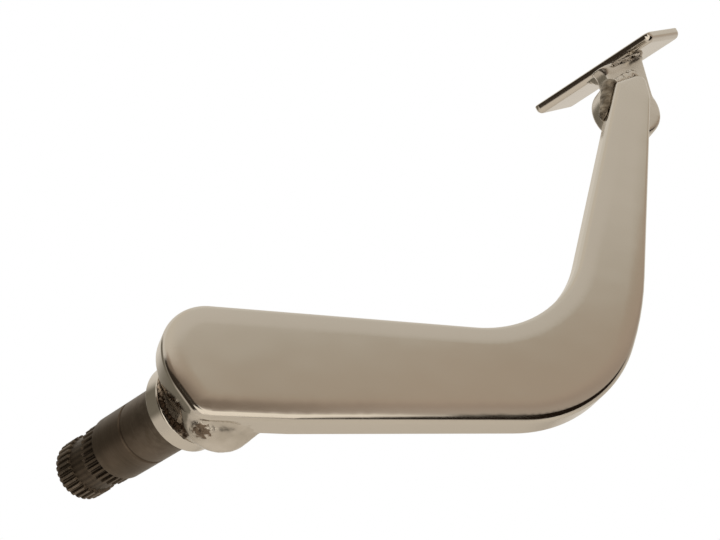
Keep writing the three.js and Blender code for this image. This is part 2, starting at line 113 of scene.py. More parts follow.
# Shaft: places along it are from the collar's thrust face
SHAFT_INNER_END = -18.0
OIL_GROOVE = (18.8, 19.2, 19.75, 20.3)  # top and bottom of one wall, bottom and top of the other
OIL_GROOVE_DEPTH = 0.4
SPLINE_LENGTH = 23.2
SPLINE_CREST = 10.5
SPLINE_ROOT = 9.5
SPLINE_TEETH = 30
TOOTH_STEPS = 12
TOOTH_FLANK = (0.2, 0.55)  # where a tooth starts to rise from its root, and over what share
CLAMP_GROOVE = (8.0, 15.0)  # from the start of the splines
SHAFT_BURIED = 0.5  # how far the inner end goes into the lever's back

# Collar, boss and the weld round them
COLLAR_BREAK = 0.55  # edge radius
COLLAR_BITE = 0.1  # how far the bore reaches into the shaft
BOSS_GROWTH = 0.35
LOBE_FORWARD = 2.6  # middle of the lump under the hub
LOBE_LIFT = 0.14
LOBE_DEPTH = 14.0
LOBE_HALF_SIZE = (13.5, 9.0, 10.0)
LOBE_FINENESS = 5  # rounds of subdivision
LUMP_FRONT = 2.5  # the lump takes in the lever behind this depth, between these planes
LUMP_REAR_END = -12.0
LUMP_FORE_END = 34.0
LUMP_TOP = 4.0
LUMP_GROWTH = 0.4  # of the weld that is melted into it
LUMP_VOXEL = 0.5
LUMP_SMOOTHING = 45
LUMP_RIPPLE = 0.09
LUMP_SWELL = -0.06
PIT_MIDDLE = (-6.6, -16.1, -15.4)  # rough patch left where the hub's dressing stopped
PIT_REACH = 4.2

# Stem and pad plate
EYE_DROP = 12.1
EYE_FORWARD = 3.0
STEM_FORWARD = 2.4
STEM_WIDTH = 18.6
STEM_THICKNESS = 8.6
SKIRT_SPREAD = 3.4  # weld run round the top of the stem, out over the pad plate
SKIRT_DROP = 7.0
SKIRT_RINGS = 11
SKIRT_RADIUS = 2.0
SKIRT_SINK = 0.2  # how far its foot stays inside the stem, and its faces stand out of it
STEM_GAP = 0.3  # between the stem and the lever's back
STEM_GROWTH = 0.05
STEM_WELD_GROWTH = 0.45  # of the weld behind the stem, melted into it
STEM_VOXEL = 0.42
STEM_SMOOTHING = 26
STEM_RIPPLE = 0.015
STEM_SWELL = 0.1
PAD_THICKNESS = 4.1
PAD_TILT = 28.0
PAD_LENGTH = 61.0
PAD_WIDTH = 30.5
PAD_CORNER = 3.0
PAD_LOW_ROLL = 2.5  # edge radii of the pad plate, underneath and on top
PAD_TOP_ROLL = 0.5

# Camera, on the side of the lever's front face and below it
CAMERA_PLACE = (-257.09, -323.64, -179.15)
CAMERA_RIGHT = (0.72488, -0.67603, -0.13240)
CAMERA_UP = (-0.23973, -0.42774, 0.87153)
CAMERA_LENS = 70.0
SENSOR_WIDTH = 36.0
CLIP_RANGE = (0.01, 20)

# Floor and lamp, in metres
FLOOR_DROP = 0.30
FLOOR_EDGES = (-0.25, -0.32, 2.6, 2.6)  # low x and y, high x and y
FLOOR_FADE = 0.06  # share of the floor's width over which it fades out
FLOOR_TONE = (0.74, 0.71, 0.67, 1)
LAMP_PLACE = (0.1, 0.1, 1.1)
LAMP_AIM = (0.08, -0.04, 0.05)
LAMP_SIZE = 0.9
LAMP_POWER = 6.0
LAMP_TONE = (1.0, 0.96, 0.90)

# Fineness of the meshes
ARC_STEP = math.radians(3.0)
OUTLINE_SPACING = 2.2
ROUND_STEPS = 192
CROWN_RINGS = 6
FACE_GRID = 5.0
EDGE_STEPS = 10
ROLL_STEPS = 8
THIN_ROLL_STEPS = 4
BREAK_STEPS = 6
MERGE_DISTANCE = 1e-6
SAME_DISTANCE = 0.02  # how exactly a crown point has to keep its distance from the outline
GRID_MARGIN = 1.5  # times the edge's inset
RIPPLE_SCALE = 0.45
RIPPLE_OCTAVES = 4

# Angles in degrees past which an edge is shaded sharp
SHARP_FLAT = 40.0
SHARP_TEETH = 35.0
SHARP_ROUND = 30.0


# ---------------------------------------------------------------- shapes

def rad(degrees):
    return math.radians(degrees)


def link(mesh, name):
    piece = bpy.data.objects.new(name, mesh)
    bpy.context.scene.collection.objects.link(piece)
    return piece


def from_bmesh(bm, name):
    bmesh.ops.recalc_face_normals(bm, faces=bm.faces)
    mesh = bpy.data.meshes.new(name)
    bm.to_mesh(mesh)
    bm.free()
    mesh.shade_smooth()
    return link(mesh, name)


def even_shading(piece, sharp_angle=SHARP_FLAT):
    """Flat faces stay flat and rounded edges stay soft."""
    piece.data.set_sharp_from_angle(angle=rad(sharp_angle))
    weighted = piece.modifiers.new("even_shading", "WEIGHTED_NORMAL")
    weighted.keep_sharp = True
    weighted.weight = 80
    return piece


def rounded_outline(corners):
    """Points along an outline whose corners (x, z, radius) are rounded, counter-clockwise."""
    points = []
    for i, (x, z, radius) in enumerate(corners):
        corner = Vector((x, z))
        back = (Vector(corners[i - 1][:2]) - corner).normalized()
        ahead = (Vector(corners[(i + 1) % len(corners)][:2]) - corner).normalized()
        half = math.acos(back.dot(ahead)) / 2
        centre = corner + (back + ahead).normalized() * radius / math.sin(half)
        start = corner + back * radius / math.tan(half) - centre
        end = corner + ahead * radius / math.tan(half) - centre
        turn = math.atan2(start.x * end.y - start.y * end.x, start.dot(end))
        steps = max(3, math.ceil(abs(turn) / ARC_STEP))
        for k in range(steps + 1):
            points.append(centre + Matrix.Rotation(turn * k / steps, 2) @ start)
    return spaced(points)


def rounded_rectangle(x, y, radius):
    return rounded_outline([(-x, -y, radius), (x, -y, radius), (x, y, radius), (-x, y, radius)])


def spaced(points):
    """Adds points along the straights, so that none is longer than the spacing."""
    filled = []
    for i, point in enumerate(points):
        before = points[i - 1]
        pieces = math.ceil((point - before).length / OUTLINE_SPACING)
        filled += [before.lerp(point, k / pieces) for k in range(1, pieces + 1)]
    return filled


def inward_normals(outline):
    """Mitred steps of one unit into an outline, point by point."""
    steps = []
    for i, point in enumerate(outline):
        before = (point - outline[i - 1]).normalized()
        after = (outline[(i + 1) % len(outline)] - point).normalized()
        across = Vector((-before.y - after.y, before.x + after.x))
        steps.append(across * 2 / across.length_squared)
    return steps


def moved_in(outline, inset):
    return [p + n * inset for p, n in zip(outline, inward_normals(outline))]


def distance_in(point, outline):
    """How far a point is from the nearest stretch of an outline."""
    least = math.inf
    for i, end in enumerate(outline):
        start = outline[i - 1]
        along = end - start
        share = min(max((point - start).dot(along) / along.length_squared, 0), 1)
        least = min(least, (point - start - along * share).length_squared)
    return math.sqrt(least)


def skin(bm, rings):
    """Faces between one ring of points and the next."""
    count = len(rings[0])
    for ring, deeper in zip(rings, rings[1:]):
        for i in range(count):
            k = (i + 1) % count
            bm.faces.new((ring[i], ring[k], deeper[k], deeper[i]))


def wrap(bm, rings):
    """Skins a stack of equal rings and closes its two ends."""
    skin(bm, rings)
    bm.faces.new(rings[0])
    bm.faces.new(rings[-1])


def round_ring(bm, y, section):
    """Points round the shaft's axis, from (angle, radius) pairs."""
    places = [(r * MM * math.cos(angle), y * MM, r * MM * math.sin(angle)) for angle, r in section]
    return [bm.verts.new(place) for place in places]


def turned(name, profile):
    """Ring-shaped solid about the shaft's axis, from a closed profile of (radius, y) corners."""
    bm = bmesh.new()
    angles = [2 * math.pi * k / ROUND_STEPS for k in range(ROUND_STEPS)]
    rings = [round_ring(bm, y, [(angle, radius) for angle in angles]) for radius, y in profile]
    skin(bm, rings + rings[:1])
    return from_bmesh(bm, name)


def quarter_round(radius, steps):
    """(distance in, rise) pairs round an edge, from the flat it starts on to the side."""
    turns = [math.pi / 2 * k / steps for k in range(steps + 1)]
    return [(radius * (1 - math.sin(t)), radius * (1 - math.cos(t))) for t in turns]


def far_round(radius, steps, thickness):
    """(distance in, depth) pairs round the opposite edge, from the side on to the flat."""
    return [(rise, thickness - inset) for inset, rise in quarter_round(radius, steps)]


def lever_matrix():
    """From the lever's own frame, y into its depth from the front face, to the model's."""
    place = Matrix.Translation((0, -ARM_STANDOFF * MM, 0))
    return place @ Matrix.Rotation(-rad(ARM_FLARE), 4, "Z")


def keep_side(bm, point, normal):
    """Keeps what lies on the normal's side of a plane, and closes the cut."""
    whole = bm.verts[:] + bm.edges[:] + bm.faces[:]
    cut = bmesh.ops.bisect_plane(
        bm, geom=whole, plane_co=point, plane_no=normal, clear_inner=True
    )
    edges = [e for e in cut["geom_cut"] if isinstance(e, bmesh.types.BMEdge)]
    bmesh.ops.holes_fill(bm, edges=edges)


def merged_copy(bm, cad_node, grow):
    """Adds a CAD solid to a bmesh with its points merged, swelled by `grow`."""
    part = bmesh.new()
    part.from_mesh(frame["nodes"][cad_node].data)
    bmesh.ops.remove_doubles(part, verts=part.verts, dist=MERGE_DISTANCE)
    bmesh.ops.recalc_face_normals(part, faces=part.faces)
    part.normal_update()
    shifted = [(vert, vert.co + vert.normal * grow * MM) for vert in part.verts]
    for vert, place in shifted:
        vert.co = place
    mesh = bpy.data.meshes.new("part")
    part.to_mesh(mesh)
    part.free()
    bm.from_mesh(mesh)
    bpy.data.meshes.remove(mesh)


def grown_copy(name, cad_node, grow):
    bm = bmesh.new()
    merged_copy(bm, cad_node, grow)
    return from_bmesh(bm, name)


def apply_modifiers(piece):
    graph = bpy.context.evaluated_depsgraph_get()
    mesh = bpy.data.meshes.new_from_object(piece.evaluated_get(graph))
    piece.modifiers.clear()
    piece.data = mesh


def melt(piece, voxel, smooth):
    """Fuses overlapping solids into one skin and softens where they meet."""
    remesh = piece.modifiers.new("melt", "REMESH")
    remesh.mode = "VOXEL"
    remesh.voxel_size = voxel * MM
    soften = piece.modifiers.new("soften", "SMOOTH")
    soften.iterations = smooth
    apply_modifiers(piece)


def shade_ripple(piece, ripple, swell):
    """Leaves the skin a little uneven, after moving it out by `swell` along its normals."""
    places = []
    for vert in piece.data.vertices:
        lift = noise.fractal(vert.co / MM * RIPPLE_SCALE, 1.0, 2.1, RIPPLE_OCTAVES)
        lift = lift * ripple + swell
        places.append(vert.co + vert.normal * lift * MM)
    for vert, place in zip(piece.data.vertices, places):
        vert.co = place
    piece.data.shade_smooth()


# ---------------------------------------------------------------- materials

FLOAT, COLOUR, VECTOR = "NodeSocketFloat", "NodeSocketColor", "NodeSocketVector"

PLATE_TONES = ((0.75, 0.71, 0.655, 1), (0.70, 0.665, 0.61, 1))
DRESSED_TONE = (0.74, 0.70, 0.645, 1)
WELD_SHADE = (0.56, 0.52, 0.46, 1)
STEM_SHADE = (0.66, 0.62, 0.565, 1)
PIT_TONE = (0.22, 0.17, 0.13)
STEEL_TONES = ((0.125, 0.097, 0.073), (0.078, 0.060, 0.042))
STEEL_LINES = (0.2, 0.165, 0.13)
STEEL_RUBBED = (0.36, 0.31, 0.26)
# near-black painted shade for the shaft's hollows, between and beside the teeth
STEEL_HOLLOW_SHADE = (0.028, 0.02, 0.014)


def group_of(name, inputs, outputs):
    """An empty node group with its sockets; returns the group and its two end nodes."""
    tree = bpy.data.node_groups.new(name, "ShaderNodeTree")
    for label, kind, value in inputs:
        socket = tree.interface.new_socket(label, in_out="INPUT", socket_type=kind)
        socket.default_value = value
    for label, kind in outputs:
        tree.interface.new_socket(label, in_out="OUTPUT", socket_type=kind)
    return tree, tree.nodes.new("NodeGroupInput"), tree.nodes.new("NodeGroupOutput")


def node(tree, kind, inputs=(), **settings):
    made = tree.nodes.new(kind)
    for key, value in settings.items():
        setattr(made, key, value)
    for key, value in dict(inputs).items():
        if isinstance(value, bpy.types.NodeSocket):
            tree.links.new(value, made.inputs[key])
        else:
            made.inputs[key].default_value = value
    return made


def ramp(tree, source, stops):
    """A grey or a colour by stops, for a value from 0 to 1."""
    made = node(tree, "ShaderNodeValToRGB", {0: source})
    elements = made.color_ramp.elements
    while len(elements) < len(stops):
        elements.new(0.5)
    for element, (place, value) in zip(elements, stops):
        element.position = place
        tone = value if isinstance(value, tuple) else (value, value, value)
        element.color = (*tone, 1)
    return made.outputs["Color"]


def math_node(tree, operation, *values):
    return node(tree, "ShaderNodeMath", dict(enumerate(values)), operation=operation).outputs[0]


def place_of(tree):
    return node(tree, "ShaderNodeTexCoord").outputs["Object"]


def grain(tree, place, scale, detail):
    inputs = {"Vector": place, "Scale": scale, "Detail": detail}
    return node(tree, "ShaderNodeTexNoise", inputs).outputs["Fac"]


def stretched(tree, place, scale):
    return node(tree, "ShaderNodeMapping", {"Vector": place, "Scale": scale}).outputs["Vector"]


def spread(tree, value, low, high, to_low=0.0, to_high=1.0, curve="LINEAR"):
    """Maps a value between two others on to a new range."""
    inputs = {"Value": value, "From Min": low, "From Max": high}
    inputs |= {"To Min": to_low, "To Max": to_high}
    return node(tree, "ShaderNodeMapRange", inputs, interpolation_type=curve).outputs["Result"]


def relief(tree, height, strength, distance):
    inputs = {"Height": height, "Strength": strength, "Distance": distance}
    return node(tree, "ShaderNodeBump", inputs)


def mixed(tree, factor, a, b):
    made = node(tree, "ShaderNodeMix", {"Factor": factor}, data_type="RGBA")
    for socket, value in ((made.inputs[6], a), (made.inputs[7], b)):
        if isinstance(value, bpy.types.NodeSocket):
            tree.links.new(value, socket)
        else:
            socket.default_value = (*value, 1)
    return made.outputs[2]


def buffing_group():
    """Cloudy tone, wiping scratches and faint waviness of a buffed surface."""
    tree, entry, leave = group_of(
        "buffing",
        [
            ("Tone A", COLOUR, PLATE_TONES[0]),
            ("Tone B", COLOUR, PLATE_TONES[1]),
            ("Cloud Scale", FLOAT, 18.0),
            ("Scratch Scale", FLOAT, 900.0),
            ("Rough Low", FLOAT, 0.1),
            ("Rough High", FLOAT, 0.2),
            ("Wave", FLOAT, 0.02),
        ],
        [("Color", COLOUR), ("Roughness", FLOAT), ("Normal", VECTOR)],
    )
    place = place_of(tree)
    cloud = grain(tree, place, entry.outputs["Cloud Scale"], 3.0)
    clouded = ramp(tree, cloud, [(0.3, 0.0), (0.7, 1.0)])
    tone = mixed(tree, clouded, entry.outputs["Tone A"], entry.outputs["Tone B"])
    wiped = stretched(tree, place, (0.12, 0.12, 1.0))
    scratches = grain(tree, wiped, entry.outputs["Scratch Scale"], 2.0)
    marks = ramp(tree, scratches, [(0.56, 0.0), (0.72, 1.0)])
    haze = math_node(tree, "MULTIPLY_ADD", marks, 0.35, math_node(tree, "MULTIPLY", cloud, 0.65))
    rough_low, rough_high = entry.outputs["Rough Low"], entry.outputs["Rough High"]
    bump = relief(tree, grain(tree, place, 55.0, 1.0), entry.outputs["Wave"], 0.002)
    tree.links.new(tone, leave.inputs["Color"])
    tree.links.new(spread(tree, haze, 0.0, 1.0, rough_low, rough_high), leave.inputs["Roughness"])
    tree.links.new(bump.outputs["Normal"], leave.inputs["Normal"])
    return tree


def wear_and_shade_group():
    """Mask that is 1 on sharp edges, broken up as wear is, and another that is 1 in hollows, where
    shade is painted.
    """
    tree, entry, leave = group_of(
        "edge_wear_and_hollow_shade",
        [("Low", FLOAT, 0.52), ("High", FLOAT, 0.6), ("Break Up", FLOAT, 300.0)],
        [("Edge", FLOAT), ("Hollow", FLOAT)],
    )
    point = node(tree, "ShaderNodeNewGeometry").outputs["Pointiness"]
    speckle = grain(tree, place_of(tree), entry.outputs["Break Up"], 4.0)
    edge = spread(tree, point, entry.outputs["Low"], entry.outputs["High"])
    broken = math_node(tree, "MULTIPLY", edge, ramp(tree, speckle, [(0.35, 0.35), (0.6, 1.0)]))
    tree.links.new(broken, leave.inputs["Edge"])
    # Hollow mask: marks the concave spots where painted shade goes
    tree.links.new(spread(tree, point, 0.5, 0.42), leave.inputs["Hollow"])
    return tree


BUFFING = buffing_group()
WEAR_AND_SHADE_MASKS = wear_and_shade_group()


def use(tree, group, **values):
    made = node(tree, "ShaderNodeGroup", node_tree=group)
    for label, value in values.items():
        made.inputs[label.replace("_", " ").title()].default_value = value
    return made


def new_material(name):
    material = bpy.data.materials.new(name)
    material.use_nodes = True
    return material, material.node_tree, material.node_tree.nodes["Principled BSDF"]


def join_up(tree, shader, metallic, colour, roughness, normal):
    """Feeds the shader; how metallic it is stays the same all over."""
    shader.inputs["Metallic"].default_value = metallic
    tree.links.new(colour, shader.inputs["Base Color"])
    tree.links.new(roughness, shader.inputs["Roughness"])
    tree.links.new(normal, shader.inputs["Normal"])


def polished_plate():
    """Buffed chrome over the lever, the collar and the pad plate."""
    material, tree, shader = new_material("polished_plate")
    buffed = use(
        tree,
        BUFFING,
        tone_a=PLATE_TONES[0],
        tone_b=PLATE_TONES[1],
        cloud_scale=14.0,
        rough_low=0.10,
        rough_high=0.17,
        wave=0.05,
    )
    join_up(tree, shader, 1.0, *buffed.outputs)
    return material


def beaded_metal(name, bright, dark, soot_stops, rough, pitting):
    """Undressed bead: pitted, smoke-darkened in patches, plated between them."""
    material, tree, shader = new_material(name)
    place = place_of(tree)
    pits = grain(tree, place, 620.0, 6.0)
    soot = grain(tree, place, 230.0, 4.0)
    low, high = soot_stops
    colour = mixed(tree, ramp(tree, soot, [(low, 0.0), (high, 1.0)]), bright, dark)
    roughness = spread(tree, pits, 0.0, 1.0, *rough)
    bump = relief(tree, pits, pitting, 0.0006)
    join_up(tree, shader, 1.0, colour, roughness, bump.outputs["Normal"])
    return material


def dressed_weld(name, shade, rough, wave, pitted):
    """Weld ground back and plated: smooth, with faint pits and grinding marks left."""
    material, tree, shader = new_material(name)
    buffed = use(
        tree,
        BUFFING,
        tone_a=DRESSED_TONE,
        tone_b=shade,
        cloud_scale=120.0,
        scratch_scale=500.0,
        rough_low=rough[0],
        rough_high=rough[1],
        wave=wave,
    )
    colour, roughness, normal = buffed.outputs
    if pitted:
        mask, height = pit_patch(tree)
        colour = mixed(tree, mask, colour, PIT_TONE)
        roughness = math_node(tree, "MAXIMUM", roughness, math_node(tree, "MULTIPLY", mask, 0.35))
        bump = relief(tree, height, 1.0, 0.0012)
        tree.links.new(normal, bump.inputs["Normal"])
        normal = bump.outputs["Normal"]
    join_up(tree, shader, 1.0, colour, roughness, normal)
    return material


def pit_patch(tree):
    """Mask and relief of the rough patch where the grinder didn't reach."""
    place = place_of(tree)
    middle = tuple(value * MM for value in PIT_MIDDLE)
    away = node(
        tree, "ShaderNodeVectorMath", {0: place, 1: middle}, operation="DISTANCE"
    ).outputs["Value"]
    near = spread(tree, away, 0.0, PIT_REACH * MM, 1.0, 0.0)
    rough = grain(tree, place, 900.0, 5.0)
    height = math_node(tree, "MULTIPLY", near, rough)
    share = math_node(tree, "MULTIPLY_ADD", near, 0.75, rough)
    return ramp(tree, share, [(0.74, 0.0), (0.86, 1.0)]), height


def shaft_steel():
    """Bare machined steel gone brown, with lathe lines, rubbed edges and painted shade in the
    hollows of the teeth.
    """
    material, tree, shader = new_material("shaft_steel")
    place = place_of(tree)
    blotch = grain(tree, place, 75.0, 5.0)
    lines = grain(tree, stretched(tree, place, (0.03, 1.0, 0.03)), 2600.0, 3.0)
    browned = ramp(tree, blotch, [(0.35, 0.0), (0.68, 1.0)])
    brown = mixed(tree, browned, *STEEL_TONES)
    lined = mixed(tree, ramp(tree, lines, [(0.5, 0.0), (0.8, 0.35)]), brown, STEEL_LINES)
    wear_and_shade = use(tree, WEAR_AND_SHADE_MASKS, low=0.53, high=0.62, break_up=420.0)
    rubbed = mixed(tree, wear_and_shade.outputs["Edge"], lined, STEEL_RUBBED)
    # Painted shade: the hollows of the teeth and grooves go nearly black.
    hollow_shaded = mixed(tree, wear_and_shade.outputs["Hollow"], rubbed, STEEL_HOLLOW_SHADE)
    rough = spread(tree, blotch, 0.0, 1.0, 0.30, 0.52)
    bump = relief(tree, lines, 0.1, 0.0003)
    join_up(tree, shader, 0.9, hollow_shaded, rough, bump.outputs["Normal"])
    return material


PLATE = polished_plate()
ROUGH_WELD = beaded_metal(
    "rough_weld", (0.52, 0.44, 0.36), (0.045, 0.03, 0.02), (0.36, 0.50), (0.12, 0.45), 0.9
)
SMOKED_WELD = beaded_metal(
    "smoked_weld", (0.42, 0.37, 0.30), (0.15, 0.125, 0.095), (0.35, 0.6), (0.25, 0.5), 0.6
)
DRESSED_WELD = dressed_weld("dressed_weld", WELD_SHADE, (0.16, 0.32), 0.25, pitted=False)
HUB_WELD = dressed_weld("hub_weld", WELD_SHADE, (0.18, 0.34), 0.2, pitted=True)
DRESSED_PLATE = dressed_weld("dressed_plate", STEM_SHADE, (0.2, 0.3), 0.05, pitted=False)
STEEL = shaft_steel()


def finish_piece(piece, material, cad_node):
    """Gives a piece its material, hangs it on the body and hides the CAD part it stands in for."""
    piece.data.materials.clear()
    piece.data.materials.append(material)
    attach(piece, BODY)
    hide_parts(cad_node)
    return piece


# ---------------------------------------------------------------- lever

def top_edge(x):
    return TOP_RISE - x * math.tan(rad(TOP_SLOPE))


def shin_corner():
    x = HEEL_REACH + SHIN_LENGTH * math.cos(rad(SHIN_ANGLE))
    return x, SHIN_LENGTH * math.sin(rad(SHIN_ANGLE)) - BOTTOM_DROP


def outer_edge(z):
    x, low = shin_corner()
    return x + (z - low) / math.tan(rad(OUTER_ANGLE))


def inner_edge(z):
    throat_x = HEEL_REACH - THROAT_SETBACK
    return throat_x + (z - top_edge(throat_x)) / math.tan(rad(INNER_ANGLE))


def lever_outline():
    throat_x = HEEL_REACH - THROAT_SETBACK
    end_z, inner_z = ARM_RISE - END_UPRIGHT, ARM_RISE - END_FALL
    end_x = outer_edge(end_z)
    return rounded_outline(
        [
            (-NOSE_REACH, top_edge(-NOSE_REACH), NOSE_TOP_RADIUS),
            (-NOSE_REACH, top_edge(-NOSE_REACH) - NOSE_FLAT, NOSE_LOW_RADIUS),
            (-NOSE_REACH + CHIN_SETBACK, CHIN_RISE - BOTTOM_DROP, CHIN_RADIUS),
            (BELLY_START, -BOTTOM_DROP, BELLY_RADIUS),
            (HEEL_REACH, -BOTTOM_DROP, HEEL_RADIUS),
            (*shin_corner(), SHIN_RADIUS),
            (end_x, end_z, END_OUTER_RADIUS),
            (end_x, ARM_RISE, END_RADIUS),
            (inner_edge(inner_z), inner_z, END_RADIUS),
            (throat_x, top_edge(throat_x), THROAT_RADIUS),
        ]
    )


EDGE_INSET = EDGE_RADIUS * (1 - math.sin(rad(CROWN_TURN)))
CROWN_DROP = CROWN_WIDTH * math.tan(rad(CROWN_TURN)) / 2


def crown_drop(distance):
    """Depth of the front face below its flat middle, at a distance in from the outline."""
    share = min(max(1 - (distance - EDGE_INSET) / CROWN_WIDTH, 0), 1)
    return CROWN_DROP * share * share


def inside(point, outline):
    crossings = 0
    for i, end in enumerate(outline):
        start = outline[i - 1]
        if (start.y > point.y) != (end.y > point.y):
            share = (point.y - start.y) / (end.y - start.y)
            crossings += start.x + (end.x - start.x) * share > point.x
    return crossings % 2 == 1


def lever_face(outline):
    """Points and triangles of the crowned front face, inside the edge's rounding."""
    rim = moved_in(outline, EDGE_INSET)
    inner = []
    for k in range(1, CROWN_RINGS + 1):
        inset = EDGE_INSET + CROWN_WIDTH * k / CROWN_RINGS
        for point in moved_in(outline, inset):
            if distance_in(point, outline) > inset - SAME_DISTANCE:
                inner.append(point)
    low_x, high_x = min(p.x for p in rim), max(p.x for p in rim)
    low_z, high_z = min(p.y for p in rim), max(p.y for p in rim)
    across, up = int((high_x - low_x) / FACE_GRID), int((high_z - low_z) / FACE_GRID)
    for i in range(across):
        for k in range(up):
            point = Vector((low_x + (i + 0.5) * FACE_GRID, low_z + (k + 0.5) * FACE_GRID))
            clear = distance_in(point, outline) > GRID_MARGIN * EDGE_INSET
            if clear and inside(point, rim):
                inner.append(point)
    count = len(rim)
    edges = [(i, (i + 1) % count) for i in range(count)]
    points, _, faces, *_ = geometry.delaunay_2d_cdt(rim + inner, edges, [], 1, 1e-5)
    return rim, points, faces


def lever():
    """The bent flat arm. Its back is planed down along the shin, so the upper arm is thinner."""
    outline = lever_outline()
    rim, points, faces = lever_face(outline)
    bm = bmesh.new()
    front = []
    for point in points:
        drop = crown_drop(distance_in(point, outline))
        front.append(bm.verts.new((point.x * MM, drop * MM, point.y * MM)))
    for face in faces:
        bm.faces.new([front[i] for i in face])
    rings = [front[: len(rim)]]
    turns = [CROWN_TURN + (90 - CROWN_TURN) * k / EDGE_STEPS for k in range(1, EDGE_STEPS + 1)]
    levels = []
    for turn in turns:
        rise = math.cos(rad(CROWN_TURN)) - math.cos(rad(turn))
        levels.append((EDGE_RADIUS * (1 - math.sin(rad(turn))), CROWN_DROP + EDGE_RADIUS * rise))
    levels += far_round(BACK_RADIUS, ROLL_STEPS, ARM_THICKNESS)
    for inset, depth in levels:
        edge = moved_in(outline, inset)
        rings.append([bm.verts.new((p.x * MM, depth * MM, p.y * MM)) for p in edge])
    skin(bm, rings)
    bm.faces.new(rings[-1])
    plane_back(bm)
    bmesh.ops.transform(bm, matrix=lever_matrix(), verts=bm.verts)
    piece = even_shading(from_bmesh(bm, "lever"))
    return finish_piece(piece, PLATE, "pedal_arm")


def plane_back(bm):
    """Thins the lever along the shin, easing from its lower thickness to its upper one."""
    shin = Vector((math.cos(rad(SHIN_ANGLE)), 0, math.sin(rad(SHIN_ANGLE))))
    bend = Vector((HEEL_REACH, 0, BEND_RISE)) * MM
    half = ARM_THICKNESS / 2 * MM
    for k in range(TAPER_CUTS + 1):
        cut = bend + shin * (TAPER_START + TAPER_LENGTH * k / TAPER_CUTS) * MM
        faces = [f for f in bm.faces if max(v.co.y for v in f.verts) > half]
        edges = list({e for f in faces for e in f.edges})
        verts = list({v for f in faces for v in f.verts})
        bmesh.ops.bisect_plane(bm, geom=verts + edges + faces, plane_co=cut, plane_no=shin)
    for vert in bm.verts:
        if vert.co.y < half:
            continue
        along = (vert.co - bend).dot(shin) / MM - TAPER_START
        share = min(max(along / TAPER_LENGTH, 0), 1)
        share = share * share * (3 - 2 * share)
        vert.co.y -= (ARM_THICKNESS - ARM_TIP_THICKNESS) * MM * share


# ---------------------------------------------------------------- shaft and collar

def journal_radius():
    low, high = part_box("pivot_shaft")
    return (high.x - low.x) / 2 / MM


def collar():
    """Thrust collar, its bore taken in to the shaft, its edges broken by the buff."""
    low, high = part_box("thrust_collar")
    rim = (high.x - low.x) / 2 / MM
    front, back = low.y / MM, high.y / MM
    inner = journal_radius() - COLLAR_BITE
    corners = [(inner, back), (inner, front)]
    for centre_y, start in ((front + COLLAR_BREAK, -90), (back - COLLAR_BREAK, 0)):
        for k in range(BREAK_STEPS + 1):
            angle = rad(start + 90 * k / BREAK_STEPS)
            y = centre_y + COLLAR_BREAK * math.sin(angle)
            corners.append((rim - COLLAR_BREAK + COLLAR_BREAK * math.cos(angle), y))
    piece = even_shading(turned("collar", corners), SHARP_ROUND)
    return finish_piece(piece, PLATE, "thrust_collar")


def boss():
    """Short boss between the collar and the lever, grown to meet both under the welds."""
    piece = grown_copy("boss", "hub_boss", BOSS_GROWTH)
    return finish_piece(even_shading(piece, SHARP_ROUND), DRESSED_WELD, "hub_boss")


def spline_section():
    """(angle, radius) round a splined section with rounded roots and crests."""
    section = []
    for k in range(SPLINE_TEETH * TOOTH_STEPS):
        phase = (k % TOOTH_STEPS) / TOOTH_STEPS
        swing = 0.5 - 0.5 * math.cos(2 * math.pi * phase)
        lift = min(max((swing - TOOTH_FLANK[0]) / TOOTH_FLANK[1], 0), 1)
        angle = 2 * math.pi * k / (SPLINE_TEETH * TOOTH_STEPS)
        section.append((angle, SPLINE_ROOT + (SPLINE_CREST - SPLINE_ROOT) * lift))
    return section


def shaft_stations(radius, tip):
    """(y, greatest radius, whether toothed) along the shaft."""
    wall_top, wall_foot, far_foot, far_top = OIL_GROOVE
    start = tip - SPLINE_LENGTH
    groove_low, groove_high = (start + place for place in CLAMP_GROOVE)
    groove_floor = SPLINE_ROOT + 0.02
    return [
        (SHAFT_INNER_END, radius, False),
        (wall_top, radius, False),
        (wall_foot, radius - OIL_GROOVE_DEPTH, False),
        (far_foot, radius - OIL_GROOVE_DEPTH, False),
        (far_top, radius, False),
        (start - 0.5, radius, False),
        (start - 0.15, radius - 0.1, False),
        (start, radius - 0.45, False),
        (start + 0.05, SPLINE_CREST, True),
        (groove_low - 0.5, SPLINE_CREST, True),
        (groove_low - 0.1, SPLINE_CREST - 0.7, True),
        (groove_low + 0.3, groove_floor, False),
        (groove_high - 0.3, groove_floor, False),
        (groove_high + 0.1, SPLINE_CREST - 0.7, True),
        (groove_high + 0.5, SPLINE_CREST, True),
        (tip - 1.2, SPLINE_CREST, True),
        (tip - 0.6, SPLINE_CREST - 0.3, True),
        (tip - 0.15, SPLINE_CREST - 0.75, True),
        (tip, SPLINE_ROOT - 0.2, False),
    ]


def shaft():
    """Pivot shaft: journal with its oil groove, then splines parted by the pinch-bolt groove."""
    section = spline_section()
    bm = bmesh.new()
    rings = []
    for y, limit, toothed in shaft_stations(journal_radius(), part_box("pivot_shaft")[1].y / MM):
        cuts = [(angle, min(cut, limit) if toothed else limit) for angle, cut in section]
        rings.append(round_ring(bm, y, cuts))
    wrap(bm, rings)
    matrix = lever_matrix()
    end = matrix @ Vector((0, (ARM_THICKNESS - SHAFT_BURIED) * MM, 0))
    keep_side(bm, end, matrix.to_3x3() @ Vector((0, 1, 0)))
    piece = even_shading(from_bmesh(bm, "shaft"), SHARP_TEETH)
    return finish_piece(piece, STEEL, "pivot_shaft")


# ---------------------------------------------------------------- welds

